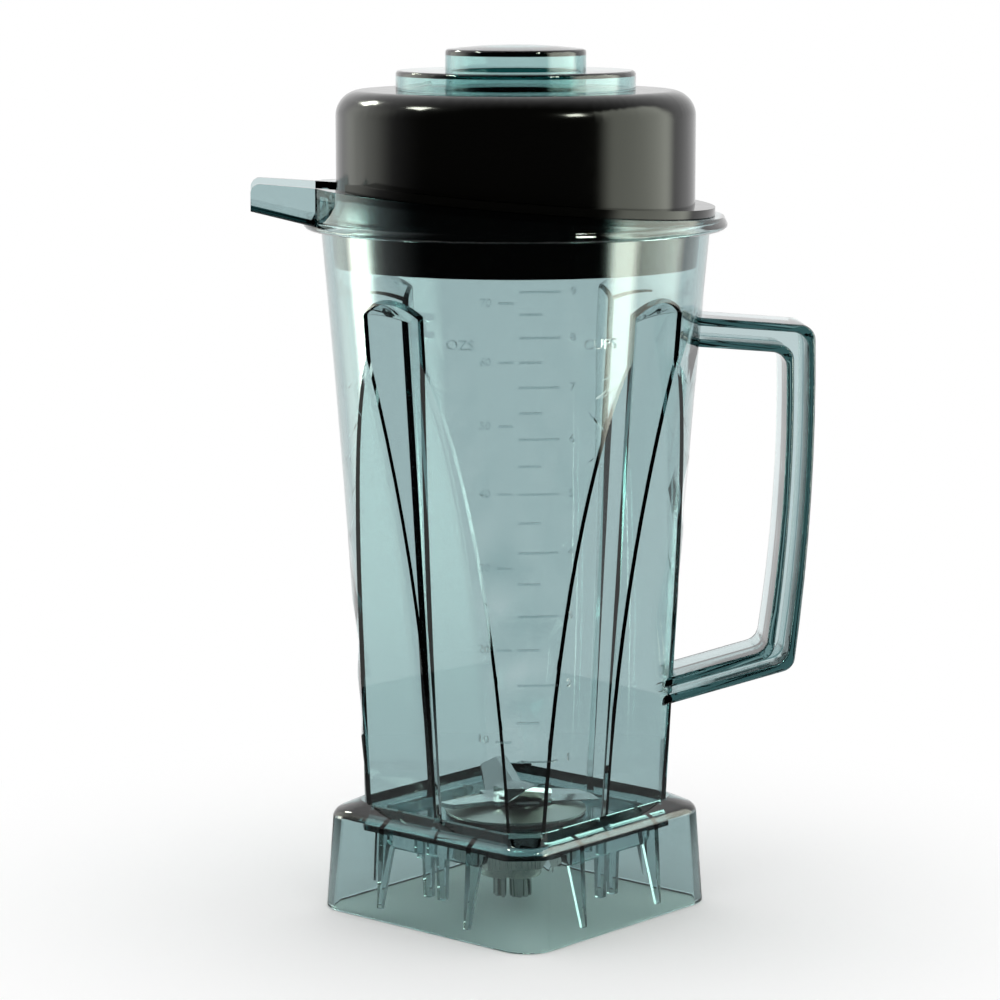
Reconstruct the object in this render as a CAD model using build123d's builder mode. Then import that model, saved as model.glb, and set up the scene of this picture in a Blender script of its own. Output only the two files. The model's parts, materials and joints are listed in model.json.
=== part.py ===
from build123d import *
import os
from math import cos, radians, sin, tan

# A two-litre blender jar with its lid, lid plug and blade unit, in millimetres.
# The origin is on the drive axis, in the plane of the skirt's lower rim.
# +Z is up, +X points to the handle and -X to the spout. The square's corners lie on X and Y.

# Square skirt that stands on the motor base
base_side = 110.0
base_corner = 12.5
skirt_height = 38.0
skirt_lean = 2.0  # how far each side leans in by the shoulder
skirt_wall = 2.8
shoulder_round = 4.0
rim_round = 1.0
foot_level = 42.0  # where the jar's walls meet the shoulder
shoulder_wall = 2.5  # shoulder's edge above the ceiling of the skirt
floor_level = 36.0  # inside floor
floor_thickness = 4.5
gusset_thickness = 2.4
gusset_offset = 22.0  # from the middle of each side
gusset_tip_level = 4.5
rib_low_level = 27.0  # ribs that carry the flats on below the floor
rib_width = 50.0
rib_round = 4.0
prong_spacing = 7.0  # pair of prongs under the middle of each rib
prong_width = 4.4
prong_tip_width = 2.8
prong_low_level = 11.0
hub_radius = 23.0
hub_depth = 4.5
run_in = 1.0  # how far ribs and cuts run past what they meet

# Jar walls: a cone with four hollow flats cut into it
wall = 3.0
foot_radius = 57.8  # cone, at the foot
rim_radius = 73.0  # cone, at the rim
rim_level = 261.0
cone_hollow = 1.2
flat_foot = 45.6  # axis to flat, at the foot
flat_top = 70.6  # axis to flat, where it runs out of the cone
flat_top_level = 231.0
flat_hollow = 3.0

# V groove down the middle of each flat, a ridge on the inside
groove_foot = 45.0  # axis to valley, at the foot
groove_top = 59.3  # axis to valley, at the top
groove_level = 231.0  # top of the valley
groove_slope = 36.0  # degrees, side of the V against the flat
groove_roof_slope = 33.5  # degrees
groove_arch_radius = 27.0
groove_crown_level = 238.5  # crown of the arch, on the outside

# Rolled collar, level below and tilted up to the spout above
collar_reach = 5.2  # out from the jar's wall
collar_wall = 2.4
collar_roof = 2.6
collar_level = 271.4  # top of the collar, on the axis
collar_tilt = 4.43  # degrees
collar_chamfer = 0.9
bead_height = 2.6
bead_reach = 1.2

# Spout trough
spout_tip = 99.0
spout_tip_width = 38.0
spout_root_width = 45.0
spout_rise = 13.3  # degrees, underside
spout_wall = 2.4
spout_corner = 3.5
spout_edge_round = 1.6

# Handle, an I section bent in one plane
handle_width = 28.0
handle_web = 4.0
handle_flange = 2.8
handle_reach = 111.8  # axis to outer edge, at the top
handle_top_level = 224.4
handle_top_fall = 4.4  # degrees, top bar
handle_bar = 10.2  # depth of the top bar
handle_grip = 10.8  # depth of the grip
handle_low_reach = 105.2  # axis to outer edge, at the bottom
handle_low_level = 93.4
handle_low_fall = 15.4  # degrees, lower bar
handle_low_bar = 7.2
handle_bow = 2.6
handle_corner = 6.0
handle_edge_chamfer = 0.7

# Rubber lid
lid_inset = 2.8  # dome inside the mouth
lid_top_level = 312.2
lid_round = 9.5
lid_wall = 3.6
lid_flange_setback = 3.5  # from the collar's edge
lid_flange_thickness = 3.0
lid_gap = 0.2  # lid flange above the collar
lid_cutout = 30.0  # degrees either side of the spout
seal_low_level = 247.6
seal_gap = 0.3  # sealing rib in the mouth
seal_rib_height = 3.0
seal_rib_reach = 0.5
seal_taper = 1.2
plug_collar_length = 22.0
plug_collar_wall = 3.4

# Lid plug, which is also a small measuring cup
plug_radius = 26.3
plug_gap = 0.35  # in the lid's hole
plug_wall = 2.2
plug_top_level = 327.2
plug_crown = 1.7
plug_low_level = 277.0
plug_disc_radius = 44.8
plug_disc_level = 319.4
plug_disc_wall = 2.0
plug_edge_round = 1.4
lug_height = 3.0
lug_reach = 2.4
lug_width = 28.0  # degrees
lug_slot_width = 40.0  # degrees
lug_turn = 75.0  # degrees from locked to free
lug_gap = 0.4

# Bearing housing clamped through the floor
gasket_thickness = 1.2
housing_radius = 14.0
housing_flange_radius = 26.0
housing_flange_thickness = 0.9  # at its edge
housing_cone_rise = 2.5
housing_low_level = 13.0
floor_hole_gap = 0.25
washer_thickness = 1.0
washer_radius = 21.0
nut_height = 8.0
nut_flats = 38.0
bore_shoulder_wall = 1.4  # step that each bearing seats on
gasket_setback = 0.5
seal_depth = 4.5
seal_top_gap = 0.6
seal_wall = 1.2
seal_lip_height = 1.0  # above the seal's foot
seal_lip_width = 0.8
seal_lip_root = 2.5
seal_relief = 0.4

# Ball bearings, eight by twenty-two by seven
bearing_bore = 4.0  # radius
bearing_radius = 11.0
bearing_width = 7.0
bearing_span = 3.8  # between the two bearings
lower_bearing_level = 17.0
inner_land = 6.1  # outer radius of the inner ring
outer_land = 8.9  # inner radius of the outer ring
ball_radius = 1.985
ball_circle = 7.5
ball_count = 7
race_gap = 0.04
cage_gap = 0.15
cage_thickness = 1.5
cage_back = 0.7
cage_rise = 0.7  # above the middle of the balls
shield_thickness = 0.35
shield_gap = 0.2
inner_spacer_radius = 5.8

# Circlip under the lower bearing
circlip_thickness = 1.2
circlip_width = 2.0
circlip_bite = 0.8
circlip_opening = 50.0  # degrees
circlip_ear = 8.0  # degrees from the opening to the middle of an ear
circlip_ear_hole = 0.65

# Shaft, blade and drive spline
shaft_collar_radius = 5.5
shaft_seal_gap = 0.05
shaft_collar_top = 40.9
shaft_low_level = 6.0
shaft_flats = 6.4
blade_washer_thickness = 0.5
blade_washer_radius = 9.0
blade_thickness = 1.8
blade_bend = 10.0  # axis to the bend lines
blade_length = 21.0  # from bend line to tip
blade_root_width = 16.0
blade_tip_width = 11.0
blade_bevel = 4.0
blade_edge = 0.4  # thickness left at the cutting edge
blade_up = 28.0  # degrees
blade_down = 4.0  # degrees
blade_heading = 14.0  # degrees from +X
lock_washer_thickness = 0.6
lock_washer_radius = 7.5
thread_radius = 3.9
thread_length = 2.4
thread_chamfer = 0.6
thread_clearance = 0.3
blade_nut_flats = 13.0
blade_nut_height = 3.0
blade_nut_crown = 0.9
blade_nut_step = 0.5  # flat left round the crown
spline_low_level = 4.0
spline_hub_radius = 6.0
spline_hub_length = 5.0
spline_radius = 7.6
spline_root_radius = 6.4
spline_teeth = 12
pin_radius = 0.9
pin_setback = 0.2

# Levels and radii that follow from the sizes above
ceiling_level = skirt_height - shoulder_wall
floor_underside = floor_level - floor_thickness
hub_level = floor_underside - hub_depth
shoulder_side = base_side - 2 * skirt_lean
far_reach = 2 * spout_tip
collar_high = collar_level + spout_tip * tan(radians(collar_tilt))
collar_plane = Plane((0, 0, collar_level), z_dir=(sin(radians(collar_tilt)), 0, cos(radians(collar_tilt))))
flat_angles = [45, 135, 225, 315]
mouth_radius = rim_radius - wall
collar_radius = rim_radius + collar_reach
lid_radius = mouth_radius - lid_inset
lid_flange_radius = collar_radius - lid_flange_setback
seal_radius = mouth_radius - seal_gap - seal_rib_reach
seal_low_radius = seal_radius - seal_taper
level_band = 0.01  # picks the edges that lie at one level

upper_bearing_level = lower_bearing_level + bearing_width + bearing_span
bearing_top = upper_bearing_level + bearing_width
flange_level = floor_level + gasket_thickness
flange_top = flange_level + housing_flange_thickness
neck_top = flange_top + housing_cone_rise
blade_level = shaft_collar_top + blade_washer_thickness
blade_top = blade_level + blade_thickness
blade_nut_level = blade_top + lock_washer_thickness

os.makedirs("parts", exist_ok=True)


def side_plane(angle, along=0.0):
    """Upright plane through the axis: local x points out at the angle, local y is up."""
    out = Vector(cos(radians(angle)), sin(radians(angle)), 0)
    across = Vector(sin(radians(angle)), -cos(radians(angle)), 0)
    return Plane(across * along, x_dir=out, z_dir=across)


def edges_at(build, level):
    """Edges that lie flat at one level."""
    return build.edges().filter_by_position(Axis.Z, level - level_band, level + level_band)


def hollow_arc(low, high, hollow):
    """Arc between two points, hollow towards the axis."""
    middle = ((low[0] + high[0]) / 2 - hollow, (low[1] + high[1]) / 2)
    return ThreePointArc(low, middle, high)


def groove_cutter(angle, inset):
    """V groove down one flat, with an arched and sloping roof, moved in by inset."""
    tilt = radians(groove_slope)
    roof = radians(groove_roof_slope)
    apex_shift = inset / cos(tilt)
    rise = groove_level - foot_level
    low = side_plane(angle).from_local_coords((groove_foot - apex_shift, foot_level))
    high = side_plane(angle).from_local_coords((groove_top - apex_shift, groove_level))
    out = side_plane(angle).x_dir
    depth = rim_radius
    crown = groove_crown_level + inset / cos(roof) + (far_reach - rim_radius) * tan(roof)
    with BuildPart() as cutter:
        with BuildSketch(Plane(low, x_dir=out, z_dir=high - low)):
            Polygon((0, 0), (depth, depth / tan(tilt)), (depth, -depth / tan(tilt)), align=None)
        extrude(amount=2 * rise)
        extrude(cutter.faces().sort_by(Axis.Z)[0], amount=foot_level)
        face_plane = Plane(out * far_reach, x_dir=side_plane(angle).z_dir * -1, z_dir=out)
        with BuildSketch(face_plane):
            with BuildLine():
                arch = groove_arch_radius
                ThreePointArc((-arch, crown - arch), (0, crown), (arch, crown - arch))
                Polyline((arch, crown - arch), (arch, -crown), (-arch, -crown), (-arch, crown - arch))
            make_face()
        inwards = out * -cos(roof) - Vector(0, 0, sin(roof))
        extrude(amount=far_reach / cos(roof), dir=inwards, mode=Mode.INTERSECT)
    return cutter.part


def body_form(inset, bottom, top):
    """Square-to-round body moved in by inset, from a bottom level to a top level."""
    foot = foot_radius - inset
    rim = rim_radius - inset
    with BuildPart() as form:
        with BuildSketch(Plane.XZ):
            with BuildLine():
                Polyline((0, top), (0, bottom), (foot, bottom), (foot, foot_level))
                hollow_arc((foot, foot_level), (rim, rim_level), cone_hollow)
                Polyline((rim, rim_level), (rim, top), (0, top))
            make_face()
        revolve(axis=Axis.Z)
        for angle in flat_angles:
            flat_low = (flat_foot - inset, foot_level)
            flat_high = (flat_top - inset, flat_top_level)
            with BuildSketch(side_plane(angle)):
                with BuildLine():
                    Polyline((flat_low[0], -foot_level), flat_low)
                    hollow_arc(flat_low, flat_high, flat_hollow)
                    Polyline(flat_high, (far_reach, flat_top_level), (far_reach, -foot_level),
                             (flat_low[0], -foot_level))
                make_face()
            extrude(amount=far_reach, both=True, mode=Mode.SUBTRACT)
        for angle in flat_angles:
            add(groove_cutter(angle, inset), mode=Mode.SUBTRACT)
    return form.part


# Rolled collar: a roof and an outer wall round the mouth, open below
with BuildPart() as collar:
    with BuildSketch(Plane.XZ):
        with BuildLine():
            bead_top = rim_level + bead_height
            Polyline((mouth_radius, rim_level), (collar_radius + bead_reach, rim_level),
                     (collar_radius + bead_reach, bead_top), (collar_radius, bead_top + bead_reach),
                     (collar_radius, collar_high), (mouth_radius, collar_high), (mouth_radius, rim_level))
        make_face()
    revolve(axis=Axis.Z)
    chamfer(collar.edges().filter_by(GeomType.CIRCLE).group_by(SortBy.RADIUS)[-1], collar_chamfer)
    split(bisect_by=collar_plane, keep=Keep.BOTTOM)

with BuildPart() as collar_channel:
    with BuildSketch(Plane.XZ):
        with Locations(((rim_radius + collar_radius - collar_wall) / 2, collar_level)):
            Rectangle(collar_radius - collar_wall - rim_radius, 2 * (collar_level - rim_level + run_in))
    revolve(axis=Axis.Z)
    split(bisect_by=collar_plane.offset(-collar_roof), keep=Keep.BOTTOM)


def spout_block(side, lift, tip, root):
    """Wedge under the collar plane: side is taken off its width, lift off its underside."""
    half_tip = spout_tip_width / 2 - side
    half_root = spout_root_width / 2 - side
    climb = tan(radians(spout_rise))
    low = rim_level + bead_height + lift
    with BuildPart() as block:
        with BuildSketch(Plane.XZ):
            Polygon((-root, low - (collar_radius - root) * climb),
                    (-tip, low + (tip - collar_radius) * climb),
                    (-tip, collar_high + spout_tip), (-root, collar_high + spout_tip), align=None)
        extrude(amount=spout_root_width, both=True)
        with BuildSketch(Plane.XY):
            spread = (half_root - half_tip) / (spout_tip - collar_radius)
            wide = half_tip + spread * (spout_tip - root)
            narrow = half_tip + spread * (spout_tip - tip)
            Polygon((-root, -wide), (-root, wide), (-tip, narrow), (-tip, -narrow), align=None)
        extrude(amount=2 * collar_high, mode=Mode.INTERSECT)
    return block.part


with BuildPart() as spout:
    add(spout_block(0, 0, spout_tip, mouth_radius))
    underside = spout.faces().sort_by(Axis.Z)[0]
    fillet(underside.edges().filter_by(Axis.Y, reverse=True), spout_edge_round)
    split(bisect_by=collar_plane, keep=Keep.BOTTOM)
    fillet(spout.edges().filter_by(Axis.Y).group_by(Axis.X)[0].sort_by(Axis.Z)[-1], spout_corner)

spout_trough = spout_block(spout_wall, spout_wall, spout_tip + spout_wall, mouth_radius - 2 * wall)

# Handle: two flanges joined by a web, all ending inside the jar wall
handle_root = flat_foot
top_fall = tan(radians(handle_top_fall))
low_fall = tan(radians(handle_low_fall))


def handle_outline(top_drop, side_step, low_lift):
    """Closed outline in the handle's plane, drawn in from its outer edge."""
    top = (handle_reach - side_step, handle_top_level - top_drop)
    low = (handle_low_reach - side_step, handle_low_level + low_lift)
    middle = ((top[0] + low[0]) / 2 + handle_bow, (top[1] + low[1]) / 2)
    root_top = (handle_root, top[1] + (top[0] - handle_root) * top_fall)
    root_low = (handle_root, low[1] - (low[0] - handle_root) * low_fall)
    with BuildSketch(Plane.XZ) as outline:
        with BuildLine():
            Line(root_top, top)
            ThreePointArc(top, middle, low)
            Polyline(low, root_low, root_top)
        make_face()
        outer = outline.vertices().group_by(Axis.X)[1:]
        fillet([corner for group in outer for corner in group], handle_corner)
    return outline.sketch


outer_edge = handle_outline(0, 0, 0)
outer_step = handle_outline(handle_flange, handle_flange, handle_flange)
inner_edge = handle_outline(handle_bar, handle_grip, handle_low_bar)
inner_step = handle_outline(handle_bar - handle_flange, handle_grip - handle_flange,
                            handle_low_bar - handle_flange)


def flange_between(edge, step):
    """Full-width flange between two outlines, with bevelled edges."""
    with BuildPart() as flange:
        with BuildSketch(Plane.XZ):
            add(edge)
            add(step, mode=Mode.SUBTRACT)
        extrude(amount=handle_width / 2, both=True)
        sides = flange.faces().filter_by(Axis.Y)
        chamfer([line for side in sides for line in side.edges()], handle_edge_chamfer)
    return flange.part


with BuildPart() as handle:
    with BuildSketch(Plane.XZ):
        add(outer_edge)
        add(inner_edge, mode=Mode.SUBTRACT)
    extrude(amount=handle_web / 2, both=True)
    add(flange_between(outer_edge, outer_step))
    add(flange_between(inner_step, inner_edge))

# Skirt: a drafted square shell under a sloping shoulder, with a hub for the bearing housing
skirt_inner_side = base_side - 2 * skirt_wall
skirt_inner_corner = base_corner - skirt_wall
lean_at_ceiling = skirt_lean * ceiling_level / skirt_height

with BuildPart() as skirt_hollow:
    with BuildSketch():
        RectangleRounded(skirt_inner_side, skirt_inner_side, skirt_inner_corner, rotation=45)
    with BuildSketch(Plane.XY.offset(ceiling_level)):
        ceiling_side = skirt_inner_side - 2 * lean_at_ceiling
        RectangleRounded(ceiling_side, ceiling_side, skirt_inner_corner, rotation=45)
    loft(ruled=True)

with BuildPart() as skirt:
    with BuildSketch():
        RectangleRounded(base_side, base_side, base_corner, rotation=45)
    with BuildSketch(Plane.XY.offset(skirt_height)):
        RectangleRounded(shoulder_side, shoulder_side, base_corner, rotation=45)
    loft(ruled=True)
    with BuildSketch(Plane.XY.offset(skirt_height)):
        RectangleRounded(shoulder_side, shoulder_side, base_corner, rotation=45)
    with BuildSketch(Plane.XY.offset(foot_level)):
        RectangleRounded(2 * flat_foot, 2 * flat_foot, base_corner, rotation=45)
    loft(ruled=True)
    fillet(edges_at(skirt, skirt_height), shoulder_round)
    fillet(skirt.edges().group_by(Axis.Z)[0], rim_round)
    add(skirt_hollow.part, mode=Mode.SUBTRACT)
    with BuildSketch(Plane.XY.offset(hub_level)):
        Circle(hub_radius)
    extrude(amount=ceiling_level + run_in - hub_level)

# Ribs under the flats, each with a pair of prongs and two gussets to the skirt
wall_middle = base_side / 2 - skirt_wall / 2
gusset_tip = wall_middle - skirt_lean * gusset_tip_level / skirt_height
gusset_top = wall_middle - lean_at_ceiling
rib_middle = flat_foot - wall / 2

with BuildPart() as floor_ribs:
    for angle in flat_angles:
        out = side_plane(angle).x_dir
        rib_face = Plane(out * (flat_foot - wall), x_dir=side_plane(angle).z_dir * -1, z_dir=out)
        with BuildSketch(rib_face) as rib:
            Polygon((-rib_width / 2, rib_low_level), (rib_width / 2, rib_low_level),
                    (rib_width / 2, floor_underside + run_in),
                    (-rib_width / 2, floor_underside + run_in), align=None)
            fillet(rib.vertices().group_by(Axis.Y)[0], rib_round)
            for middle in (-prong_spacing / 2, prong_spacing / 2):
                Polygon((middle - prong_tip_width / 2, prong_low_level),
                        (middle + prong_tip_width / 2, prong_low_level),
                        (middle + prong_width / 2, rib_low_level + run_in),
                        (middle - prong_width / 2, rib_low_level + run_in), align=None)
        extrude(amount=wall)
        for side in (-gusset_offset, gusset_offset):
            with BuildSketch(side_plane(angle, side)):
                Polygon((gusset_tip, gusset_tip_level), (gusset_top, ceiling_level + run_in),
                        (rib_middle, ceiling_level + run_in), (rib_middle, rib_low_level),
                        (gusset_tip - skirt_wall, gusset_tip_level), align=None)
            extrude(amount=gusset_thickness / 2, both=True)

# The jar itself: one moulding with collar, spout, handle and skirt
with BuildPart() as jar_body:
    add(body_form(0, floor_underside, collar_high))
    split(bisect_by=collar_plane, keep=Keep.BOTTOM)
    add(collar.part)
    add(collar_channel.part, mode=Mode.SUBTRACT)
    add(spout.part)
    add(handle.part)
    add(skirt.part)
    add(floor_ribs.part)
    add(body_form(wall, floor_level, 2 * collar_high), mode=Mode.SUBTRACT)
    add(spout_trough, mode=Mode.SUBTRACT)
    with Locations((0, 0, hub_level)):
        Cylinder(housing_radius + floor_hole_gap, floor_level, align=(Align.CENTER, Align.CENTER, Align.MIN),
                 mode=Mode.SUBTRACT)
jar_body.part.label = "jar_body"
export_step(jar_body.part, "parts/jar_body.step")

# Rubber lid: a dome with a sealing skirt, a tilted flange and a collar for the plug
plug_hole = plug_radius + plug_gap
dome_inner = lid_radius - lid_wall

with BuildPart() as lid_flange:
    with BuildSketch(Plane.XY.offset(rim_level)):
        Circle(lid_flange_radius)
        Circle(dome_inner, mode=Mode.SUBTRACT)
    extrude(amount=2 * (collar_high - rim_level))
    split(bisect_by=collar_plane.offset(lid_gap), keep=Keep.TOP)
    split(bisect_by=collar_plane.offset(lid_gap + lid_flange_thickness), keep=Keep.BOTTOM)
    with BuildSketch(Plane.XY):
        notch = tan(radians(lid_cutout)) * far_reach
        Polygon((0, 0), (-far_reach, notch), (-far_reach, -notch), align=None)
        Circle(lid_radius, mode=Mode.SUBTRACT)
    extrude(amount=2 * collar_high, mode=Mode.SUBTRACT)

with BuildPart() as lid:
    with BuildSketch(Plane.XZ):
        with BuildLine():
            rib_level = rim_level + seal_rib_height
            Polyline((seal_low_radius - lid_wall, seal_low_level), (seal_low_radius, seal_low_level),
                     (seal_radius, rim_level),
                     (seal_radius + seal_rib_reach, rim_level + seal_rib_height / 2),
                     (seal_radius, rib_level), (lid_radius, rib_level),
                     (lid_radius, lid_top_level - lid_round))
            RadiusArc((lid_radius, lid_top_level - lid_round),
                      (lid_radius - lid_round, lid_top_level), -lid_round)
            ceiling_round = lid_round - lid_wall
            Polyline((lid_radius - lid_round, lid_top_level), (plug_hole, lid_top_level),
                     (plug_hole, lid_top_level - plug_collar_length),
                     (plug_hole + plug_collar_wall, lid_top_level - plug_collar_length),
                     (plug_hole + plug_collar_wall, lid_top_level - lid_wall),
                     (dome_inner - ceiling_round, lid_top_level - lid_wall))
            RadiusArc((dome_inner - ceiling_round, lid_top_level - lid_wall),
                      (dome_inner, lid_top_level - lid_round), ceiling_round)
            Polyline((dome_inner, lid_top_level - lid_round), (dome_inner, rib_level),
                     (seal_low_radius - lid_wall, seal_low_level))
        make_face()
    revolve(axis=Axis.Z)
    add(lid_flange.part)
    with BuildSketch(Plane.XY.offset(lid_top_level - plug_collar_length)):
        slot_half = tan(radians(lug_slot_width / 2)) * plug_hole
        with PolarLocations(0, 2, start_angle=lug_turn):
            Polygon((0, 0), (2 * plug_hole, 2 * slot_half), (2 * plug_hole, -2 * slot_half), align=None)
        Circle(plug_hole + lug_reach, mode=Mode.INTERSECT)
    extrude(amount=plug_collar_length - lid_wall, mode=Mode.SUBTRACT)
lid.part.label = "lid"
export_step(lid.part, "parts/lid.step")

# Clear plug: an upturned cup with a disc that rests on the lid and two locking lugs
disc_foot = lid_top_level + lid_gap
lug_top = lid_top_level - plug_collar_length - lug_gap

with BuildPart() as lid_plug:
    with BuildSketch(Plane.XZ):
        with BuildLine():
            bore = plug_radius - plug_wall
            Polyline((0, plug_top_level + plug_crown - plug_wall), (0, plug_top_level + plug_crown))
            crown_radius = (plug_radius ** 2 + plug_crown ** 2) / (2 * plug_crown)
            RadiusArc((0, plug_top_level + plug_crown), (plug_radius, plug_top_level), crown_radius)
            Polyline((plug_radius, plug_top_level), (plug_radius, plug_disc_level),
                     (plug_disc_radius, plug_disc_level), (plug_disc_radius, disc_foot),
                     (plug_disc_radius - plug_disc_wall, disc_foot),
                     (plug_disc_radius - plug_disc_wall, plug_disc_level - plug_disc_wall),
                     (plug_radius, plug_disc_level - plug_disc_wall), (plug_radius, plug_low_level),
                     (bore, plug_low_level), (bore, plug_top_level - plug_wall),
                     (0, plug_top_level + plug_crown - plug_wall))
        make_face()
    revolve(axis=Axis.Z)
    for level in (plug_top_level, plug_disc_level):
        fillet(edges_at(lid_plug, level).sort_by(SortBy.RADIUS)[-1], plug_edge_round)
    with BuildSketch(Plane.XY.offset(lug_top - lug_height)):
        lug_half = tan(radians(lug_width / 2)) * plug_radius
        with PolarLocations(0, 2):
            Polygon((0, 0), (2 * plug_radius, 2 * lug_half), (2 * plug_radius, -2 * lug_half), align=None)
        Circle(plug_radius + lug_reach - plug_gap, mode=Mode.INTERSECT)
        Circle(plug_radius - plug_wall / 2, mode=Mode.SUBTRACT)
    extrude(amount=lug_height)
lid_plug.part.label = "lid_plug"
export_step(lid_plug.part, "parts/lid_plug.step")

# Bearing housing: a sleeve under a flat cone, with a bearing seat at each end and the seal on top
bore_step = bearing_radius - bore_shoulder_wall
lower_seat = lower_bearing_level + bearing_width
groove_low = lower_bearing_level - circlip_thickness

with BuildPart() as bearing_housing:
    with BuildSketch(Plane.XZ):
        with BuildLine():
            Polyline((bearing_radius, housing_low_level), (housing_radius, housing_low_level),
                     (housing_radius, flange_level), (housing_flange_radius, flange_level),
                     (housing_flange_radius, flange_top), (housing_radius, neck_top),
                     (bearing_radius, neck_top),
                     (bearing_radius, upper_bearing_level),
                     (bore_step, upper_bearing_level), (bore_step, lower_seat), (bearing_radius, lower_seat),
                     (bearing_radius, lower_bearing_level),
                     (bearing_radius + circlip_bite, lower_bearing_level),
                     (bearing_radius + circlip_bite, groove_low), (bearing_radius, groove_low),
                     (bearing_radius, housing_low_level))
        make_face()
    revolve(axis=Axis.Z)
bearing_housing.part.label = "bearing_housing"
export_step(bearing_housing.part, "parts/bearing_housing.step")


def plain_ring(inner, outer, low, high):
    """Flat ring about the axis between two levels."""
    with BuildPart() as ring:
        with BuildSketch(Plane.XY.offset(low)):
            Circle(outer)
            Circle(inner, mode=Mode.SUBTRACT)
        extrude(amount=high - low)
    return ring.part


housing_gasket = plain_ring(housing_radius, housing_flange_radius - gasket_setback, floor_level, flange_level)
housing_gasket.label = "housing_gasket"
export_step(housing_gasket, "parts/housing_gasket.step")

washer_level = hub_level - washer_thickness
retainer_washer = plain_ring(housing_radius, washer_radius, washer_level, hub_level)
retainer_washer.label = "retainer_washer"
export_step(retainer_washer, "parts/retainer_washer.step")

with BuildPart() as retainer_nut:
    with BuildSketch(Plane.XY.offset(washer_level - nut_height)):
        RegularPolygon(nut_flats / 2, 6, major_radius=False)
        Circle(housing_radius, mode=Mode.SUBTRACT)
    extrude(amount=nut_height)
retainer_nut.part.label = "retainer_nut"
export_step(retainer_nut.part, "parts/retainer_nut.step")

# Lip seal round the shaft collar: a cased ring with a thin lip
seal_low = neck_top - seal_top_gap - seal_depth
lip_radius = shaft_collar_radius + shaft_seal_gap
with BuildPart() as shaft_seal:
    with BuildSketch(Plane.XZ):
        seal_high = seal_low + seal_depth
        casing = bearing_radius - seal_wall
        lip_low = seal_low + seal_lip_height
        lip_root = seal_low + seal_lip_root
        Polygon((lip_radius, lip_low), (lip_radius + seal_wall, lip_root),
                (lip_radius + seal_wall, seal_high - seal_wall),
                (casing, seal_high - seal_wall), (casing, seal_low), (bearing_radius, seal_low),
                (bearing_radius, seal_high), (lip_radius + seal_relief, seal_high),
                (lip_radius + seal_relief, lip_root), (lip_radius, lip_low + seal_lip_width), align=None)
    revolve(axis=Axis.Z)
shaft_seal.part.label = "shaft_seal"
export_step(shaft_seal.part, "parts/shaft_seal.step")

with BuildPart() as circlip:
    with BuildSketch(Plane.XY.offset(groove_low)):
        Circle(bearing_radius + circlip_bite)
        Circle(bearing_radius - circlip_width, mode=Mode.SUBTRACT)
        gap_half = tan(radians(circlip_opening / 2)) * 2 * bearing_radius
        Polygon((0, 0), (2 * bearing_radius, gap_half), (2 * bearing_radius, -gap_half), align=None,
                mode=Mode.SUBTRACT)
        with PolarLocations(bearing_radius - circlip_width, 2, start_angle=-circlip_opening / 2 - circlip_ear,
                            angular_range=circlip_opening + 2 * circlip_ear, endpoint=True):
            Circle(circlip_width)
            Circle(circlip_ear_hole, mode=Mode.SUBTRACT)
    extrude(amount=circlip_thickness)
circlip.part.label = "circlip"
export_step(circlip.part, "parts/circlip.step")

# Two shielded ball bearings
race_radius = ball_radius + race_gap
for place, level in (("upper", upper_bearing_level), ("lower", lower_bearing_level)):
    middle = level + bearing_width / 2
    with BuildPart() as outer_ring:
        add(plain_ring(outer_land, bearing_radius, level, level + bearing_width))
        with Locations((0, 0, middle)):
            Torus(ball_circle, race_radius, mode=Mode.SUBTRACT)
    with BuildPart() as inner_ring:
        add(plain_ring(bearing_bore, inner_land, level, level + bearing_width))
        with Locations((0, 0, middle)):
            Torus(ball_circle, race_radius, mode=Mode.SUBTRACT)
    with BuildPart() as balls:
        with Locations((0, 0, middle)):
            with PolarLocations(ball_circle, ball_count):
                Sphere(ball_radius)
    with BuildPart() as cage:
        pocket = ball_radius + cage_gap
        add(plain_ring(ball_circle - cage_thickness / 2, ball_circle + cage_thickness / 2,
                       middle - pocket - cage_back, middle + cage_rise))
        with Locations((0, 0, middle)):
            with PolarLocations(ball_circle, ball_count):
                Sphere(pocket, mode=Mode.SUBTRACT)
    with BuildPart() as shields:
        for low in (level, level + bearing_width - shield_thickness):
            add(plain_ring(inner_land + shield_gap, outer_land, low, low + shield_thickness))
    for piece, name in ((outer_ring, "outer_ring"), (inner_ring, "inner_ring"), (balls, "balls"),
                        (cage, "cage"), (shields, "shields")):
        piece.part.label = f"{place}_bearing_{name}"
        export_step(piece.part, f"parts/{place}_bearing_{name}.step")

inner_spacer = plain_ring(bearing_bore, inner_spacer_radius, lower_seat, upper_bearing_level)
inner_spacer.label = "inner_spacer"
export_step(inner_spacer, "parts/inner_spacer.step")

# Shaft with a collar under the blade, two flats that drive it and a threaded end
with BuildPart() as drive_shaft:
    with BuildSketch(Plane.XZ):
        Polygon((0, shaft_low_level), (bearing_bore, shaft_low_level), (bearing_bore, bearing_top),
                (shaft_collar_radius, bearing_top), (shaft_collar_radius, shaft_collar_top),
                (0, shaft_collar_top), align=None)
    revolve(axis=Axis.Z)
    with BuildSketch(Plane.XY.offset(shaft_collar_top)):
        Circle(bearing_bore)
        Rectangle(2 * bearing_bore, shaft_flats, mode=Mode.INTERSECT)
    extrude(amount=blade_nut_level - shaft_collar_top)
    with BuildSketch(Plane.XY.offset(blade_nut_level)):
        Circle(thread_radius)
    extrude(amount=thread_length)
    chamfer(drive_shaft.edges().group_by(Axis.Z)[-1], thread_chamfer)
    with BuildSketch(Plane.XZ):
        pin_level = lower_bearing_level - spline_hub_length / 2
        with Locations((0, pin_level)):
            Circle(pin_radius)
    extrude(amount=spline_radius, both=True, mode=Mode.SUBTRACT)
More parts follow.
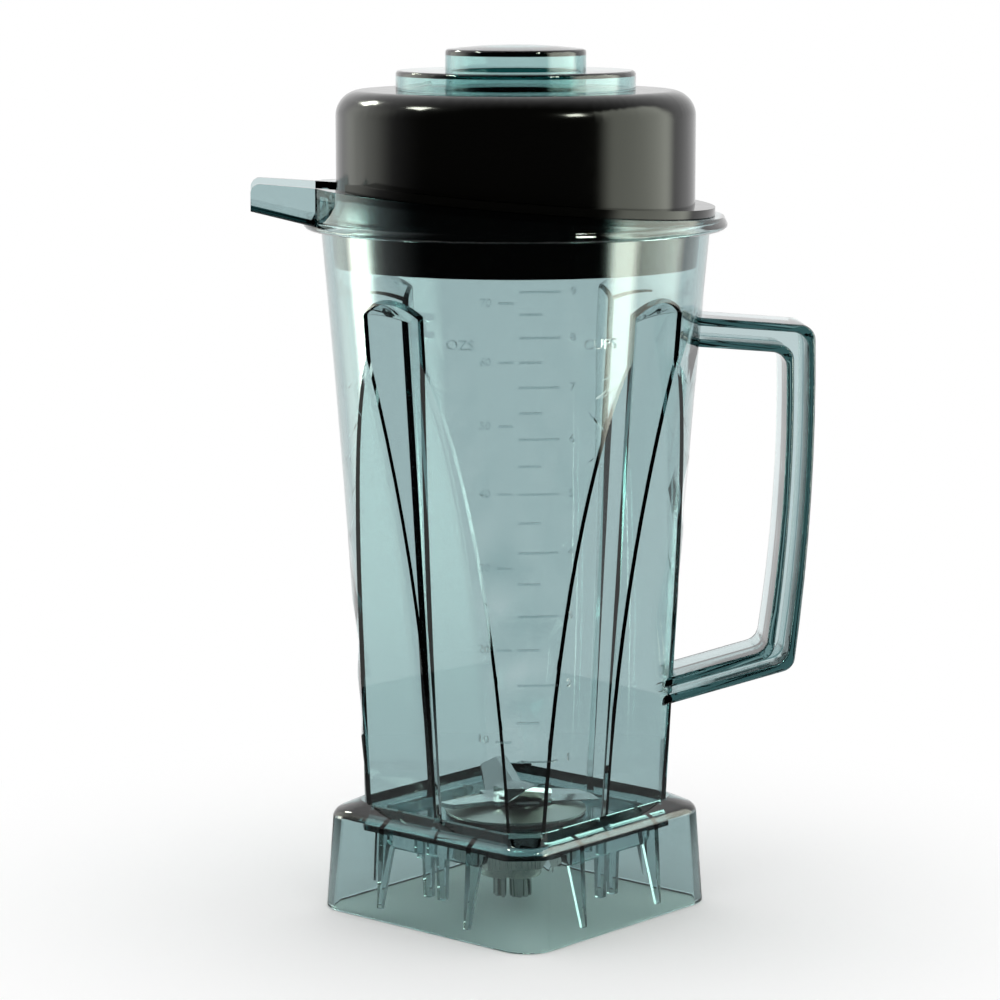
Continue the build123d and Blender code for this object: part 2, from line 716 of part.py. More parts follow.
drive_shaft.part.label = "drive_shaft"
export_step(drive_shaft.part, "parts/drive_shaft.step")

# Stamped blade: a square hub with two wings bent up and two bent down, ground on the leading edge
up_mitre = blade_thickness / 2 * tan(radians(blade_up / 2))
with BuildPart() as wing:
    with BuildSketch(Plane.XY.offset(-blade_thickness / 2)):
        Polygon((-up_mitre, -blade_root_width / 2), (-up_mitre, blade_root_width / 2),
                (blade_length - blade_tip_width / 2, blade_tip_width / 2),
                (blade_length, -blade_tip_width / 2), align=None)
    extrude(amount=blade_thickness)
    leading = wing.edges().group_by(Axis.Z)[-1].sort_by(Axis.Y)[0]
    chamfer(leading, blade_bevel, length2=blade_thickness - blade_edge,
            reference=wing.faces().sort_by(Axis.Z)[-1])

with BuildPart() as blade:
    with BuildSketch(Plane.XY.offset(blade_level)):
        Rectangle(2 * (blade_bend + up_mitre), 2 * (blade_bend + up_mitre), rotation=blade_heading)
    extrude(amount=blade_thickness)
    for index in range(4):
        pitch = blade_up if index % 2 else -blade_down
        turn = radians(blade_heading + 90 * index)
        bend = Vector(blade_bend * cos(turn), blade_bend * sin(turn), blade_level + blade_thickness / 2)
        out = Vector(cos(turn) * cos(radians(pitch)), sin(turn) * cos(radians(pitch)), sin(radians(pitch)))
        lift = Vector(-cos(turn) * sin(radians(pitch)), -sin(turn) * sin(radians(pitch)), cos(radians(pitch)))
        with Locations(Plane(bend, x_dir=out, z_dir=lift)):
            add(wing.part)
    with BuildSketch(Plane.XY.offset(blade_level)):
        Circle(bearing_bore)
        Rectangle(2 * bearing_bore, shaft_flats, mode=Mode.INTERSECT)
    extrude(amount=blade_thickness, mode=Mode.SUBTRACT)
blade.part.label = "blade"
export_step(blade.part, "parts/blade.step")

blade_washer = plain_ring(bearing_bore, blade_washer_radius, shaft_collar_top, blade_level)
blade_washer.label = "blade_washer"
export_step(blade_washer, "parts/blade_washer.step")

lock_washer = plain_ring(bearing_bore, lock_washer_radius, blade_top, blade_nut_level)
lock_washer.label = "lock_washer"
export_step(lock_washer, "parts/lock_washer.step")

# Low cap nut
with BuildPart() as blade_nut:
    nut_top = blade_nut_level + blade_nut_height
    with BuildSketch(Plane.XY.offset(blade_nut_level)):
        RegularPolygon(blade_nut_flats / 2, 6, major_radius=False)
    extrude(amount=blade_nut_height)
    with BuildSketch(Plane.XZ):
        with BuildLine():
            cap = blade_nut_flats / 2 - blade_nut_step
            cap_radius = (cap ** 2 + blade_nut_crown ** 2) / (2 * blade_nut_crown)
            Polyline((0, nut_top + blade_nut_crown), (0, nut_top), (cap, nut_top))
            RadiusArc((0, nut_top + blade_nut_crown), (cap, nut_top), cap_radius)
        make_face()
    revolve(axis=Axis.Z)
    with BuildSketch(Plane.XY.offset(blade_nut_level)):
        Circle(thread_radius)
    extrude(amount=thread_length + thread_clearance, mode=Mode.SUBTRACT)
blade_nut.part.label = "blade_nut"
export_step(blade_nut.part, "parts/blade_nut.step")

# Male spline that the motor's socket drives, pinned to the shaft
with BuildPart() as drive_spline:
    spline_top = lower_bearing_level - spline_hub_length
    with BuildSketch(Plane.XY.offset(spline_top)):
        Circle(spline_hub_radius)
    extrude(amount=spline_hub_length)
    with BuildSketch(Plane.XY.offset(spline_low_level)):
        Circle(spline_root_radius)
        tooth = spline_root_radius * sin(radians(180 / spline_teeth))
        with PolarLocations(spline_root_radius, spline_teeth):
            Rectangle(2 * (spline_radius - spline_root_radius), tooth)
    extrude(amount=spline_top - spline_low_level)
    with BuildSketch(Plane.XY.offset(spline_low_level)):
        Circle(bearing_bore)
    extrude(amount=spline_top + spline_hub_length, mode=Mode.SUBTRACT)
    with BuildSketch(Plane.XZ):
        with Locations((0, pin_level)):
            Circle(pin_radius)
    extrude(amount=spline_radius, both=True, mode=Mode.SUBTRACT)
drive_spline.part.label = "drive_spline"
export_step(drive_spline.part, "parts/drive_spline.step")

with BuildPart() as spline_pin:
    with BuildSketch(Plane.XZ):
        with Locations((0, pin_level)):
            Circle(pin_radius)
    extrude(amount=spline_hub_radius - pin_setback, both=True)
spline_pin.part.label = "spline_pin"
export_step(spline_pin.part, "parts/spline_pin.step")
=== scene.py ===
import json
from math import acos, cos, hypot, pi, radians, sin, sqrt, tan

import bmesh
import bpy
import numpy
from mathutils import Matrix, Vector


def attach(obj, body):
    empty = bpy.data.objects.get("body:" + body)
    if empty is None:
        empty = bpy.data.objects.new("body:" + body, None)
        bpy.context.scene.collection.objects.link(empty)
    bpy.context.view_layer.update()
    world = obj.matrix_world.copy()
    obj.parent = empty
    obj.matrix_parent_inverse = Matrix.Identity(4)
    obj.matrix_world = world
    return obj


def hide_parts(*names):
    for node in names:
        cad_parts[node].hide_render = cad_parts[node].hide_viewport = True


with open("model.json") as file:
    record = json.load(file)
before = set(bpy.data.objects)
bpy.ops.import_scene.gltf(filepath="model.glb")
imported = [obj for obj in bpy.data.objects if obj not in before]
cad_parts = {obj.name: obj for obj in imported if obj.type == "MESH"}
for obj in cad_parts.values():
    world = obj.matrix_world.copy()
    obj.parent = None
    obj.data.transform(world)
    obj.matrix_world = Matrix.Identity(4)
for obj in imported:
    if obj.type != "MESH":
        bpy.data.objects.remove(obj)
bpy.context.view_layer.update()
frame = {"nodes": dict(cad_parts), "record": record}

scene = bpy.context.scene
MM = 0.001


def colour(code):
    """Linear colour from an sRGB hex value such as #88AABB."""
    parts = [int(code[i:i + 2], 16) / 255 for i in (1, 3, 5)]
    linear = [p / 12.92 if p <= 0.04045 else ((p + 0.055) / 1.055) ** 2.4 for p in parts]
    return (*linear, 1.0)


def add_node(tree, kind, settings=None, values=None, links=None):
    """Adds one shader node with its settings, socket values and links."""
    node = tree.nodes.new(kind)
    for name, value in (settings or {}).items():
        setattr(node, name, value)
    for socket, value in (values or {}).items():
        node.inputs[socket].default_value = value
    for socket, source in (links or {}).items():
        tree.links.new(source, node.inputs[socket])
    return node


def new_material(name):
    """Empty node material and its output node."""
    material = bpy.data.materials.new(name)
    material.use_nodes = True
    material.node_tree.nodes.clear()
    return material, add_node(material.node_tree, "ShaderNodeOutputMaterial")


def deselect():
    bpy.ops.object.select_all(action="DESELECT")


def pick(piece):
    """Makes one piece the only selected and active one."""
    deselect()
    piece.select_set(True)
    bpy.context.view_layer.objects.active = piece


# Clear copolyester, injection moulded and polished, tinted through: pale across a wall and dark teal
# along it, because most of the tint is in the depth. The share of each colour that the depth lets by is
# a number and not a colour to be seen. The flow of the melt leaves faint clouds in the polish.
JAR_TINT = (0.0, 0.29, 0.3, 1.0)
JAR_TINT_PER_METRE = 110.0
JAR_SKIN = "#EDF5F6"
PLUG_TINT = (0.0, 0.44, 0.44, 1.0)
PLUG_TINT_PER_METRE = 225.0
PLUG_SKIN = "#FFFFFF"
COPOLYESTER_IOR = 1.55
POLISHED = 0.012
MATT = 0.2
CLOUD_MM = 14.0
CLOUD_SHARE = 0.4


def tinted_copolyester(name, roughness, skin, tint, per_metre):
    material, output = new_material(name)
    tree = material.node_tree
    place = add_node(tree, "ShaderNodeTexCoord")
    clouds = add_node(tree, "ShaderNodeTexNoise", values={"Scale": 1.0 / (CLOUD_MM * MM), "Detail": 2.0},
                      links={"Vector": place.outputs["Object"]})
    polish = add_node(tree, "ShaderNodeMapRange", links={"Value": clouds.outputs["Fac"]}, values={
        "To Min": (1.0 - CLOUD_SHARE) * roughness, "To Max": (1.0 + CLOUD_SHARE) * roughness})
    shell = add_node(tree, "ShaderNodeBsdfPrincipled", values={
        "Base Color": colour(skin), "IOR": COPOLYESTER_IOR, "Transmission Weight": 1.0},
        links={"Roughness": polish.outputs["Result"]})
    depth = add_node(tree, "ShaderNodeVolumeAbsorption", values={"Color": tint, "Density": per_metre})
    tree.links.new(shell.outputs["BSDF"], output.inputs["Surface"])
    tree.links.new(depth.outputs["Volume"], output.inputs["Volume"])
    return material


# Black nitrile rubber, moulded against a polished tool: almost black, with soft-edged reflections.
SPECK_MM = 4.55


def polished_rubber():
    material, output = new_material("polished_black_rubber")
    tree = material.node_tree
    place = add_node(tree, "ShaderNodeTexCoord")
    specks = add_node(tree, "ShaderNodeTexNoise", values={"Scale": 1.0 / (SPECK_MM * MM), "Detail": 2.0},
                      links={"Vector": place.outputs["Object"]})
    haze = add_node(tree, "ShaderNodeMapRange", values={"To Min": 0.1, "To Max": 0.16},
                    links={"Value": specks.outputs["Fac"]})
    rubber = add_node(tree, "ShaderNodeBsdfPrincipled", values={
        "Base Color": colour("#050504"), "IOR": 1.5, "Specular IOR Level": 0.25},
        links={"Roughness": haze.outputs["Result"]})
    tree.links.new(rubber.outputs["BSDF"], output.inputs["Surface"])
    return material


# Black nitrile rubber from a blasted tool: fine grain that leaves a dull, even grey-black.
RUBBER_GRAIN_MM = 0.25
GRAIN_DEPTH_MM = 0.05


def matte_rubber():
    material, output = new_material("matte_black_rubber")
    tree = material.node_tree
    place = add_node(tree, "ShaderNodeTexCoord")
    grain = add_node(tree, "ShaderNodeTexNoise", links={"Vector": place.outputs["Object"]},
                     values={"Scale": 1.0 / (RUBBER_GRAIN_MM * MM), "Detail": 2.0})
    haze = add_node(tree, "ShaderNodeMapRange", values={"To Min": 0.5, "To Max": 0.7},
                    links={"Value": grain.outputs["Fac"]})
    pits = add_node(tree, "ShaderNodeBump", values={"Strength": 0.3, "Distance": GRAIN_DEPTH_MM * MM},
                    links={"Height": grain.outputs["Fac"]})
    rubber = add_node(tree, "ShaderNodeBsdfPrincipled", values={"Base Color": colour("#161616")},
                      links={"Roughness": haze.outputs["Result"], "Normal": pits.outputs["Normal"]})
    tree.links.new(rubber.outputs["BSDF"], output.inputs["Surface"])
    return material


# Stainless steel: cool grey metal whose fine grinding lines stretch the reflections.
def ground_steel(name, code, smooth, rough, line_mm, stretch):
    material, output = new_material(name)
    tree = material.node_tree
    place = add_node(tree, "ShaderNodeTexCoord")
    lines = add_node(tree, "ShaderNodeMapping", values={"Scale": (1.0 / stretch, 1.0, 1.0)},
                     links={"Vector": place.outputs["Object"]})
    grit = add_node(tree, "ShaderNodeTexNoise", values={"Scale": 1.0 / (line_mm * MM), "Detail": 3.0},
                    links={"Vector": lines.outputs["Vector"]})
    haze = add_node(tree, "ShaderNodeMapRange", values={"To Min": smooth, "To Max": rough},
                    links={"Value": grit.outputs["Fac"]})
    metal = add_node(tree, "ShaderNodeBsdfPrincipled", values={
        "Base Color": colour(code), "Metallic": 1.0}, links={"Roughness": haze.outputs["Result"]})
    tree.links.new(metal.outputs["BSDF"], output.inputs["Surface"])
    return material


# Nickel plate on a turned part: fine rings round the axis fan the light out into radial flares. At a
# scale of one, a wave texture turns through twenty radians in one unit.
WAVE_RADIANS = 20
TURNING_MM = 0.5


def turned_nickel():
    material, output = new_material("turned_nickel_plate")
    tree = material.node_tree
    place = add_node(tree, "ShaderNodeTexCoord")
    rings = add_node(tree, "ShaderNodeTexWave", settings={"wave_type": "RINGS", "rings_direction": "Z"},
                     values={"Scale": 2 * pi / (WAVE_RADIANS * TURNING_MM * MM), "Distortion": 1.5,
                             "Detail": 2.0},
                     links={"Vector": place.outputs["Object"]})
    haze = add_node(tree, "ShaderNodeMapRange", values={"To Min": 0.27, "To Max": 0.3},
                    links={"Value": rings.outputs["Fac"]})
    turning = add_node(tree, "ShaderNodeTangent", settings={"direction_type": "RADIAL", "axis": "Z"})
    metal = add_node(tree, "ShaderNodeBsdfPrincipled", values={
        "Base Color": colour("#DADAD5"), "Metallic": 1.0, "Anisotropic": 0.75},
        links={"Roughness": haze.outputs["Result"], "Tangent": turning.outputs["Tangent"]})
    tree.links.new(metal.outputs["BSDF"], output.inputs["Surface"])
    return material


# Glass-filled nylon, moulded: dark tan with pale fibre flecks and a dull skin. A colour mix has its two
# colours and its result on sockets that only a number tells apart.
FIBRE_MM = 0.4
MIX_FIRST = 6
MIX_SECOND = 7
MIX_RESULT = 2


def moulded_nylon():
    material, output = new_material("moulded_nylon")
    tree = material.node_tree
    place = add_node(tree, "ShaderNodeTexCoord")
    fibres = add_node(tree, "ShaderNodeTexNoise", values={"Scale": 1.0 / (FIBRE_MM * MM), "Detail": 3.0},
                      links={"Vector": place.outputs["Object"]})
    flecks = add_node(tree, "ShaderNodeMix", settings={"data_type": "RGBA"},
                      values={MIX_FIRST: colour("#332E26"), MIX_SECOND: colour("#4A453B")},
                      links={"Factor": fibres.outputs["Fac"]})
    haze = add_node(tree, "ShaderNodeMapRange", values={"To Min": 0.42, "To Max": 0.58},
                    links={"Value": fibres.outputs["Fac"]})
    nylon = add_node(tree, "ShaderNodeBsdfPrincipled", links={
        "Base Color": flecks.outputs[MIX_RESULT], "Roughness": haze.outputs["Result"]})
    tree.links.new(nylon.outputs["BSDF"], output.inputs["Surface"])
    return material


# The finish of each material slot. Steel has its colour, its least and most roughness, its line width in
# millimetres and how many times longer than wide the lines are.
finishes = {
    "clear_body": tinted_copolyester("tinted_copolyester", POLISHED, JAR_SKIN, JAR_TINT, JAR_TINT_PER_METRE),
    "clear_plug": tinted_copolyester("tinted_copolyester_plug", POLISHED, PLUG_SKIN, PLUG_TINT,
                                     PLUG_TINT_PER_METRE),
    "black_rubber": polished_rubber(),
    "seal_rubber": matte_rubber(),
    "housing_metal": turned_nickel(),
    "steel": ground_steel("bright_steel", "#C4C5C6", 0.16, 0.28, 0.4, 1.0),
    "bearing_steel": ground_steel("ground_bearing_steel", "#CBCCCE", 0.08, 0.14, 0.4, 1.0),
    "cage_plastic": moulded_nylon(),
    "blade_steel": ground_steel("stamped_blade_steel", "#E2E3E3", 0.08, 0.2, 0.3, 12.0),
}

slots = {row["node"]: row["material_slot"] for row in frame["record"]["subparts"]}


def finish_with(piece, material):
    piece.data.materials.clear()
    piece.data.materials.append(material)


for node, piece in frame["nodes"].items():
    finish_with(piece, finishes[slots[node]])


# Narrow bevels stand for rounded edges. Theirs are the edges that turn less than an angle, in degrees, on
# the handle and on the collar's bead, whose places are in millimetres.
BEVEL_ANGLE = 55
HANDLE_FROM_MM = 70.5
HANDLE_HALF_WIDTH_MM = 14.5
HANDLE_LEVELS_MM = (90.0, 230.0)
BEAD_FROM_MM = 77.5
BEAD_LEVELS_MM = (260.5, 265.0)


def on_handle(spot):
    out, across, up = spot / MM
    low, high = HANDLE_LEVELS_MM
    return out > HANDLE_FROM_MM and abs(across) < HANDLE_HALF_WIDTH_MM and low < up < high


def on_bead(spot):
    out, across, up = spot / MM
    low, high = BEAD_LEVELS_MM
    return hypot(out, across) > BEAD_FROM_MM and low < up < high


def round_bevels(piece, places):
    """Lets the shading run round the narrow bevels in some places, as it does on a moulded edge."""
    form = bmesh.new()
    form.from_mesh(piece.data)
    for edge in form.edges:
        inside = any(all(place(corner.co) for corner in edge.verts) for place in places)
        if inside and edge.is_manifold and edge.calc_face_angle() < radians(BEVEL_ANGLE):
            edge.smooth = True
    form.to_mesh(piece.data)
    form.free()


# Corners nearer than a distance become one, and edges that turn more than the crease, in degrees, stay sharp.
MERGE_MM = 0.001
JAR_CREASE = 20
LID_CREASE = 25


def smooth_shell(node, name, body, crease, bevelled=()):
    """Merged and smoothly shaded copy of a CAD node, which it stands for."""
    piece = bpy.data.objects.new(name, frame["nodes"][node].data.copy())
    scene.collection.objects.link(piece)
    pick(piece)
    bpy.ops.object.mode_set(mode="EDIT")
    bpy.ops.mesh.select_all(action="SELECT")
    bpy.ops.mesh.remove_doubles(threshold=MERGE_MM * MM)
    bpy.ops.object.mode_set(mode="OBJECT")
    # The shading that the node came with belongs to its unmerged corners
    bpy.ops.mesh.customdata_custom_splitnormals_clear()
    bpy.ops.object.shade_smooth_by_angle(angle=radians(crease))
    round_bevels(piece, bevelled)
    weigh = piece.modifiers.new("even_faces", "WEIGHTED_NORMAL")
    weigh.keep_sharp = True
    bpy.ops.object.modifier_apply(modifier=weigh.name)
    finish_with(piece, finishes[slots[node]])
    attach(piece, body)
    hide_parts(node)
    return piece


# The jar's walls follow two hollow arcs, as (out, up) ends and hollow, in millimetres. A triangle is part of
# one where its corners lie on it and it faces the same way, within some degrees.
CORNER_ARC = ((57.8, 42.0), (73.0, 261.0), 1.2)
FLAT_ARC = ((45.6, 42.0), (70.6, 231.0), 3.0)
FLAT_ANGLES = (45, 135, 225, 315)
WALL_MM = 3.0
ON_SURFACE_MM = 0.02
SAME_FACING = 8


def arc_centre(low, high, hollow):
    """Centre of the circle through both ends and the hollowed middle."""
    middle = ((low[0] + high[0]) / 2 - hollow, (low[1] + high[1]) / 2)
    sides = numpy.array([(middle[0] - low[0], middle[1] - low[1]), (high[0] - low[0], high[1] - low[1])])
    halves = [(middle[0] ** 2 + middle[1] ** 2 - low[0] ** 2 - low[1] ** 2) / 2,
              (high[0] ** 2 + high[1] ** 2 - low[0] ** 2 - low[1] ** 2) / 2]
    return numpy.linalg.solve(sides, halves)


def true_wall_shading(piece):
    """Takes the shading of the hollow walls from their arcs, which long triangles can't show."""
    mesh = piece.data
    place = numpy.empty(len(mesh.vertices) * 3)
    mesh.vertices.foreach_get("co", place)
    place = place.reshape(-1, 3) / MM
    corners = numpy.empty(len(mesh.loops), dtype=int)
    mesh.loops.foreach_get("vertex_index", corners)
    corners = corners.reshape(-1, 3)
    shading = numpy.empty(len(mesh.loops) * 3)
    mesh.corner_normals.foreach_get("vector", shading)
    shading = shading.reshape(-1, 3, 3)
    facing = numpy.empty(len(mesh.polygons) * 3)
    mesh.polygons.foreach_get("normal", facing)
    facing = facing.reshape(-1, 3)
    from_axis = numpy.maximum(numpy.linalg.norm(place[:, :2], axis=1), ON_SURFACE_MM)
    round_out = place[:, :2] / from_axis[:, None]
    flat_outs = [numpy.array((cos(radians(a)), sin(radians(a)))) for a in FLAT_ANGLES]
    surfaces = [(CORNER_ARC, round_out)] + [(FLAT_ARC, out) for out in flat_outs]
    for inset, side in ((0.0, 1.0), (WALL_MM, -1.0)):
        for arc, out in surfaces:
            centre = arc_centre(*arc)
            radius = numpy.hypot(centre[0] - arc[0][0], centre[1] - arc[0][1])
            inwards = centre[0] - (place[:, :2] * out).sum(axis=1) - inset
            upwards = centre[1] - place[:, 2]
            length = numpy.hypot(inwards, upwards)
            on_arc = abs(length - radius) < ON_SURFACE_MM
            normal = numpy.column_stack((out * inwards[:, None], upwards)) / length[:, None] * side
            agrees = (facing * normal[corners].mean(axis=1)).sum(axis=1) > cos(radians(SAME_FACING))
            chosen = on_arc[corners].all(axis=1) & agrees
            shading[chosen] = normal[corners[chosen]]
    mesh.normals_split_custom_set(shading.reshape(-1, 3))


jar_shell = smooth_shell("jar_body", "jar_shell", "jar", JAR_CREASE, (on_handle, on_bead))
true_wall_shading(jar_shell)
smooth_shell("lid", "lid_shell", "lid", LID_CREASE)
smooth_shell("lid_plug", "plug_shell", "plug", LID_CREASE)

# Volume marks, raised on the jar's front corner by the mould. Their levels follow from the jar's inside,
# where the groove of each flat, as (out, up) ends and the slope of its sides, is a ridge.
CUP_ML = 236.6
OUNCE_ML = 29.57
BLADE_UNIT_ML = 12.0
INSIDE_FLOOR_MM = 36.0
WALLS_FROM_MM = 42.0
GROOVE_LOW = (45.0, 42.0)
GROOVE_HIGH = (59.3, 231.0)
GROOVE_SLOPE = 36
LEVEL_STEP_MM = 0.5
MM3_PER_ML = 1000


def arc_out(arc, up):
    """Distance of a hollow arc from the jar's axis at one level."""
    centre = arc_centre(*arc)
    radius = hypot(centre[0] - arc[0][0], centre[1] - arc[0][1])
    return centre[0] - sqrt(radius ** 2 - (up - centre[1]) ** 2)


def inside_area(up):
    """Area of the jar's inside at one level: a disc cut by four flats, each with a ridge."""
    level = max(up, WALLS_FROM_MM)
    corner = arc_out(CORNER_ARC, level) - WALL_MM
    flat = min(arc_out(FLAT_ARC, level) - WALL_MM, corner)
    cut = corner ** 2 * acos(flat / corner) - flat * sqrt(corner ** 2 - flat ** 2)
    rise = (level - GROOVE_LOW[1]) / (GROOVE_HIGH[1] - GROOVE_LOW[1])
    groove_out = GROOVE_LOW[0] + rise * (GROOVE_HIGH[0] - GROOVE_LOW[0])
    ridge_out = groove_out - WALL_MM / cos(radians(GROOVE_SLOPE))
    ridge = max(flat - ridge_out, 0.0) ** 2 / tan(radians(GROOVE_SLOPE)) if rise < 1.0 else 0.0
    return pi * corner ** 2 - len(FLAT_ANGLES) * (cut + ridge)


def fill_levels(measure_ml, counts):
    """Levels at which the jar holds so many of a measure."""
    heights = numpy.arange(INSIDE_FLOOR_MM, CORNER_ARC[1][1], LEVEL_STEP_MM)
    areas = numpy.array([inside_area(height) for height in heights])
    held = numpy.cumsum(areas) * LEVEL_STEP_MM / MM3_PER_ML - BLADE_UNIT_ML
    return numpy.interp([measure_ml * count for count in counts], held, heights)


# The marks' places across the corner, heights and thickness
MARK_START_MM = -100.0
MARK_RAISED_MM = 0.35
MARK_SEAT_MM = 0.02
LINE_MM = 0.7
DIGIT_MM = 4.2
WORD_MM = 5.2
CUP_LINE_MM = (-3.6, 11.2)
HALF_CUP_LINE_MM = (-3.6, 4.6)
OUNCE_LINE_MM = (-11.0, -5.6)
CUP_DIGIT_AT_MM = 15.8
OUNCE_DIGIT_AT_MM = -15.6
CUP_WORD_AT_MM = 26.0
OUNCE_WORD_AT_MM = -24.5
WORD_LEVEL_MM = 223.7
LINE_PARTS = 10
LETTER_CURVE_PARTS = 3
STANDING = (pi / 2, 0.0, 0.0)


def mark_line(left, right, up):
    """Flat bar in front of the jar, between two places across it."""
    deselect()
    bpy.ops.mesh.primitive_grid_add(x_subdivisions=LINE_PARTS, y_subdivisions=1, size=1.0, rotation=STANDING,
                                    location=((left + right) / 2 * MM, MARK_START_MM * MM, up * MM))
    bar = bpy.context.active_object
    bar.scale = ((right - left) * MM, LINE_MM * MM, 1.0)
    bpy.ops.object.transform_apply(location=True, rotation=True, scale=True)
    return bar


def mark_text(words, across, up, size):
    """Flat lettering in front of the jar, centred on a place."""
    deselect()
    bpy.ops.object.text_add(rotation=STANDING, location=(across * MM, MARK_START_MM * MM, up * MM))
    lettering = bpy.context.active_object
    lettering.data.body = words
    lettering.data.size = size * MM
    lettering.data.align_x = "CENTER"
    lettering.data.align_y = "CENTER"
    lettering.data.resolution_u = LETTER_CURVE_PARTS
    bpy.ops.object.convert(target="MESH")
    bpy.ops.object.transform_apply(location=True, rotation=True, scale=True)
    return bpy.context.active_object


cups = range(1, 10)
marks = []
for count, level in zip(cups, fill_levels(CUP_ML, cups)):
    marks.append(mark_line(*CUP_LINE_MM, level))
    marks.append(mark_text(str(count), CUP_DIGIT_AT_MM, level, DIGIT_MM))
for level in fill_levels(CUP_ML, [count - 0.5 for count in cups]):
    marks.append(mark_line(*HALF_CUP_LINE_MM, level))
ounces = range(10, 80, 10)
for count, level in zip(ounces, fill_levels(OUNCE_ML, ounces)):
    marks.append(mark_line(*OUNCE_LINE_MM, level))
    marks.append(mark_text(str(count), OUNCE_DIGIT_AT_MM, level, DIGIT_MM))
marks.append(mark_text("OZS", OUNCE_WORD_AT_MM, WORD_LEVEL_MM, WORD_MM))
marks.append(mark_text("CUPS", CUP_WORD_AT_MM, WORD_LEVEL_MM, WORD_MM))
deselect()
for mark in marks:
    mark.select_set(True)
bpy.context.view_layer.objects.active = marks[0]
bpy.ops.object.join()
volume_marks = bpy.context.active_object
volume_marks.name = "volume_marks"
lay = volume_marks.modifiers.new("lay_on_wall", "SHRINKWRAP")
lay.target = jar_shell
lay.wrap_method = "PROJECT"
lay.wrap_mode = "ABOVE_SURFACE"
lay.use_project_y = True
lay.use_negative_direction = False
lay.use_positive_direction = True
lay.offset = MARK_SEAT_MM * MM
bpy.ops.object.modifier_apply(modifier=lay.name)
raise_up = volume_marks.modifiers.new("raise", "SOLIDIFY")
raise_up.thickness = MARK_RAISED_MM * MM
raise_up.offset = 1.0
bpy.ops.object.modifier_apply(modifier=raise_up.name)
# Copolyester from a blasted part of the tool: the same tint with a matt skin.
finish_with(volume_marks, tinted_copolyester("matt_moulded_copolyester", MATT, JAR_SKIN, JAR_TINT,
                                             JAR_TINT_PER_METRE))
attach(volume_marks, "jar")

# Pale round floor that keeps the jar's shadow and turns into the white studio towards its edge, which is
# dark in reflections, as the room is
FLOOR_RADIUS = 0.3
SHADOW_RADIUS = 0.1
FLOOR_SIDES = 128
FLOOR_EDGE_MIRRORED = 0.05
deselect()
bpy.ops.mesh.primitive_circle_add(vertices=FLOOR_SIDES, radius=FLOOR_RADIUS, fill_type="NGON")
floor = bpy.context.active_object
floor.name = "floor"
floor_paint, floor_output = new_material("floor_paint")
floor_tree = floor_paint.node_tree
spot = add_node(floor_tree, "ShaderNodeTexCoord")
distance = add_node(floor_tree, "ShaderNodeVectorMath", settings={"operation": "LENGTH"},
                    links={0: spot.outputs["Object"]})
fade = add_node(floor_tree, "ShaderNodeMapRange", settings={"interpolation_type": "SMOOTHSTEP"},
                values={"From Min": SHADOW_RADIUS, "From Max": FLOOR_RADIUS},
                links={"Value": distance.outputs["Value"]})
paint = add_node(floor_tree, "ShaderNodeBsdfDiffuse", values={"Color": colour("#FFFFFF")})
seen = add_node(floor_tree, "ShaderNodeLightPath")
end = add_node(floor_tree, "ShaderNodeMapRange", values={"To Min": 1.0, "To Max": FLOOR_EDGE_MIRRORED},
               links={"Value": seen.outputs["Glossy Depth"]})
edge = add_node(floor_tree, "ShaderNodeEmission", values={"Color": colour("#FFFFFF")},
                links={"Strength": end.outputs["Result"]})
cover = add_node(floor_tree, "ShaderNodeMixShader", links={
    0: fade.outputs["Result"], 1: paint.outputs["BSDF"], 2: edge.outputs["Emission"]})
floor_tree.links.new(cover.outputs["Shader"], floor_output.inputs["Surface"])
finish_with(floor, floor_paint)

# White studio: plain white light all round, and a dark room in front that shows only in reflections. The
# room turns white between two places from front, -1, to back, 1.
ROOM_DARK_TO = -0.5
ROOM_WHITE_FROM = 0.6
ROOM_DARK = 0.01
world = bpy.data.worlds.new("white_studio")
scene.world = world
world.use_nodes = True
world.cycles.sampling_method = "NONE"
sky = world.node_tree
sky.nodes.clear()
sky_out = add_node(sky, "ShaderNodeOutputWorld")
path = add_node(sky, "ShaderNodeLightPath")
way = add_node(sky, "ShaderNodeTexCoord")
axes = add_node(sky, "ShaderNodeSeparateXYZ", links={"Vector": way.outputs["Generated"]})
behind = add_node(sky, "ShaderNodeMapRange", settings={"interpolation_type": "SMOOTHSTEP"},
                  values={"From Min": ROOM_DARK_TO, "From Max": ROOM_WHITE_FROM, "To Min": ROOM_DARK,
                          "To Max": 1.0},
                  links={"Value": axes.outputs["Y"]})
mirrored = add_node(sky, "ShaderNodeMath", settings={"operation": "MINIMUM"}, values={1: 1.0},
                    links={0: path.outputs["Glossy Depth"]})
room = add_node(sky, "ShaderNodeMix", settings={"data_type": "FLOAT"}, values={"A": 1.0},
                links={"Factor": mirrored.outputs["Value"], "B": behind.outputs["Result"]})
light = add_node(sky, "ShaderNodeBackground", values={"Color": colour("#FFFFFF")},
                 links={"Strength": room.outputs["Result"]})
sky.links.new(light.outputs["Background"], sky_out.inputs["Surface"])

# Lamps, which add only what glossy and clear surfaces show of them
LAMP_COLOUR = "#FAFFEE"


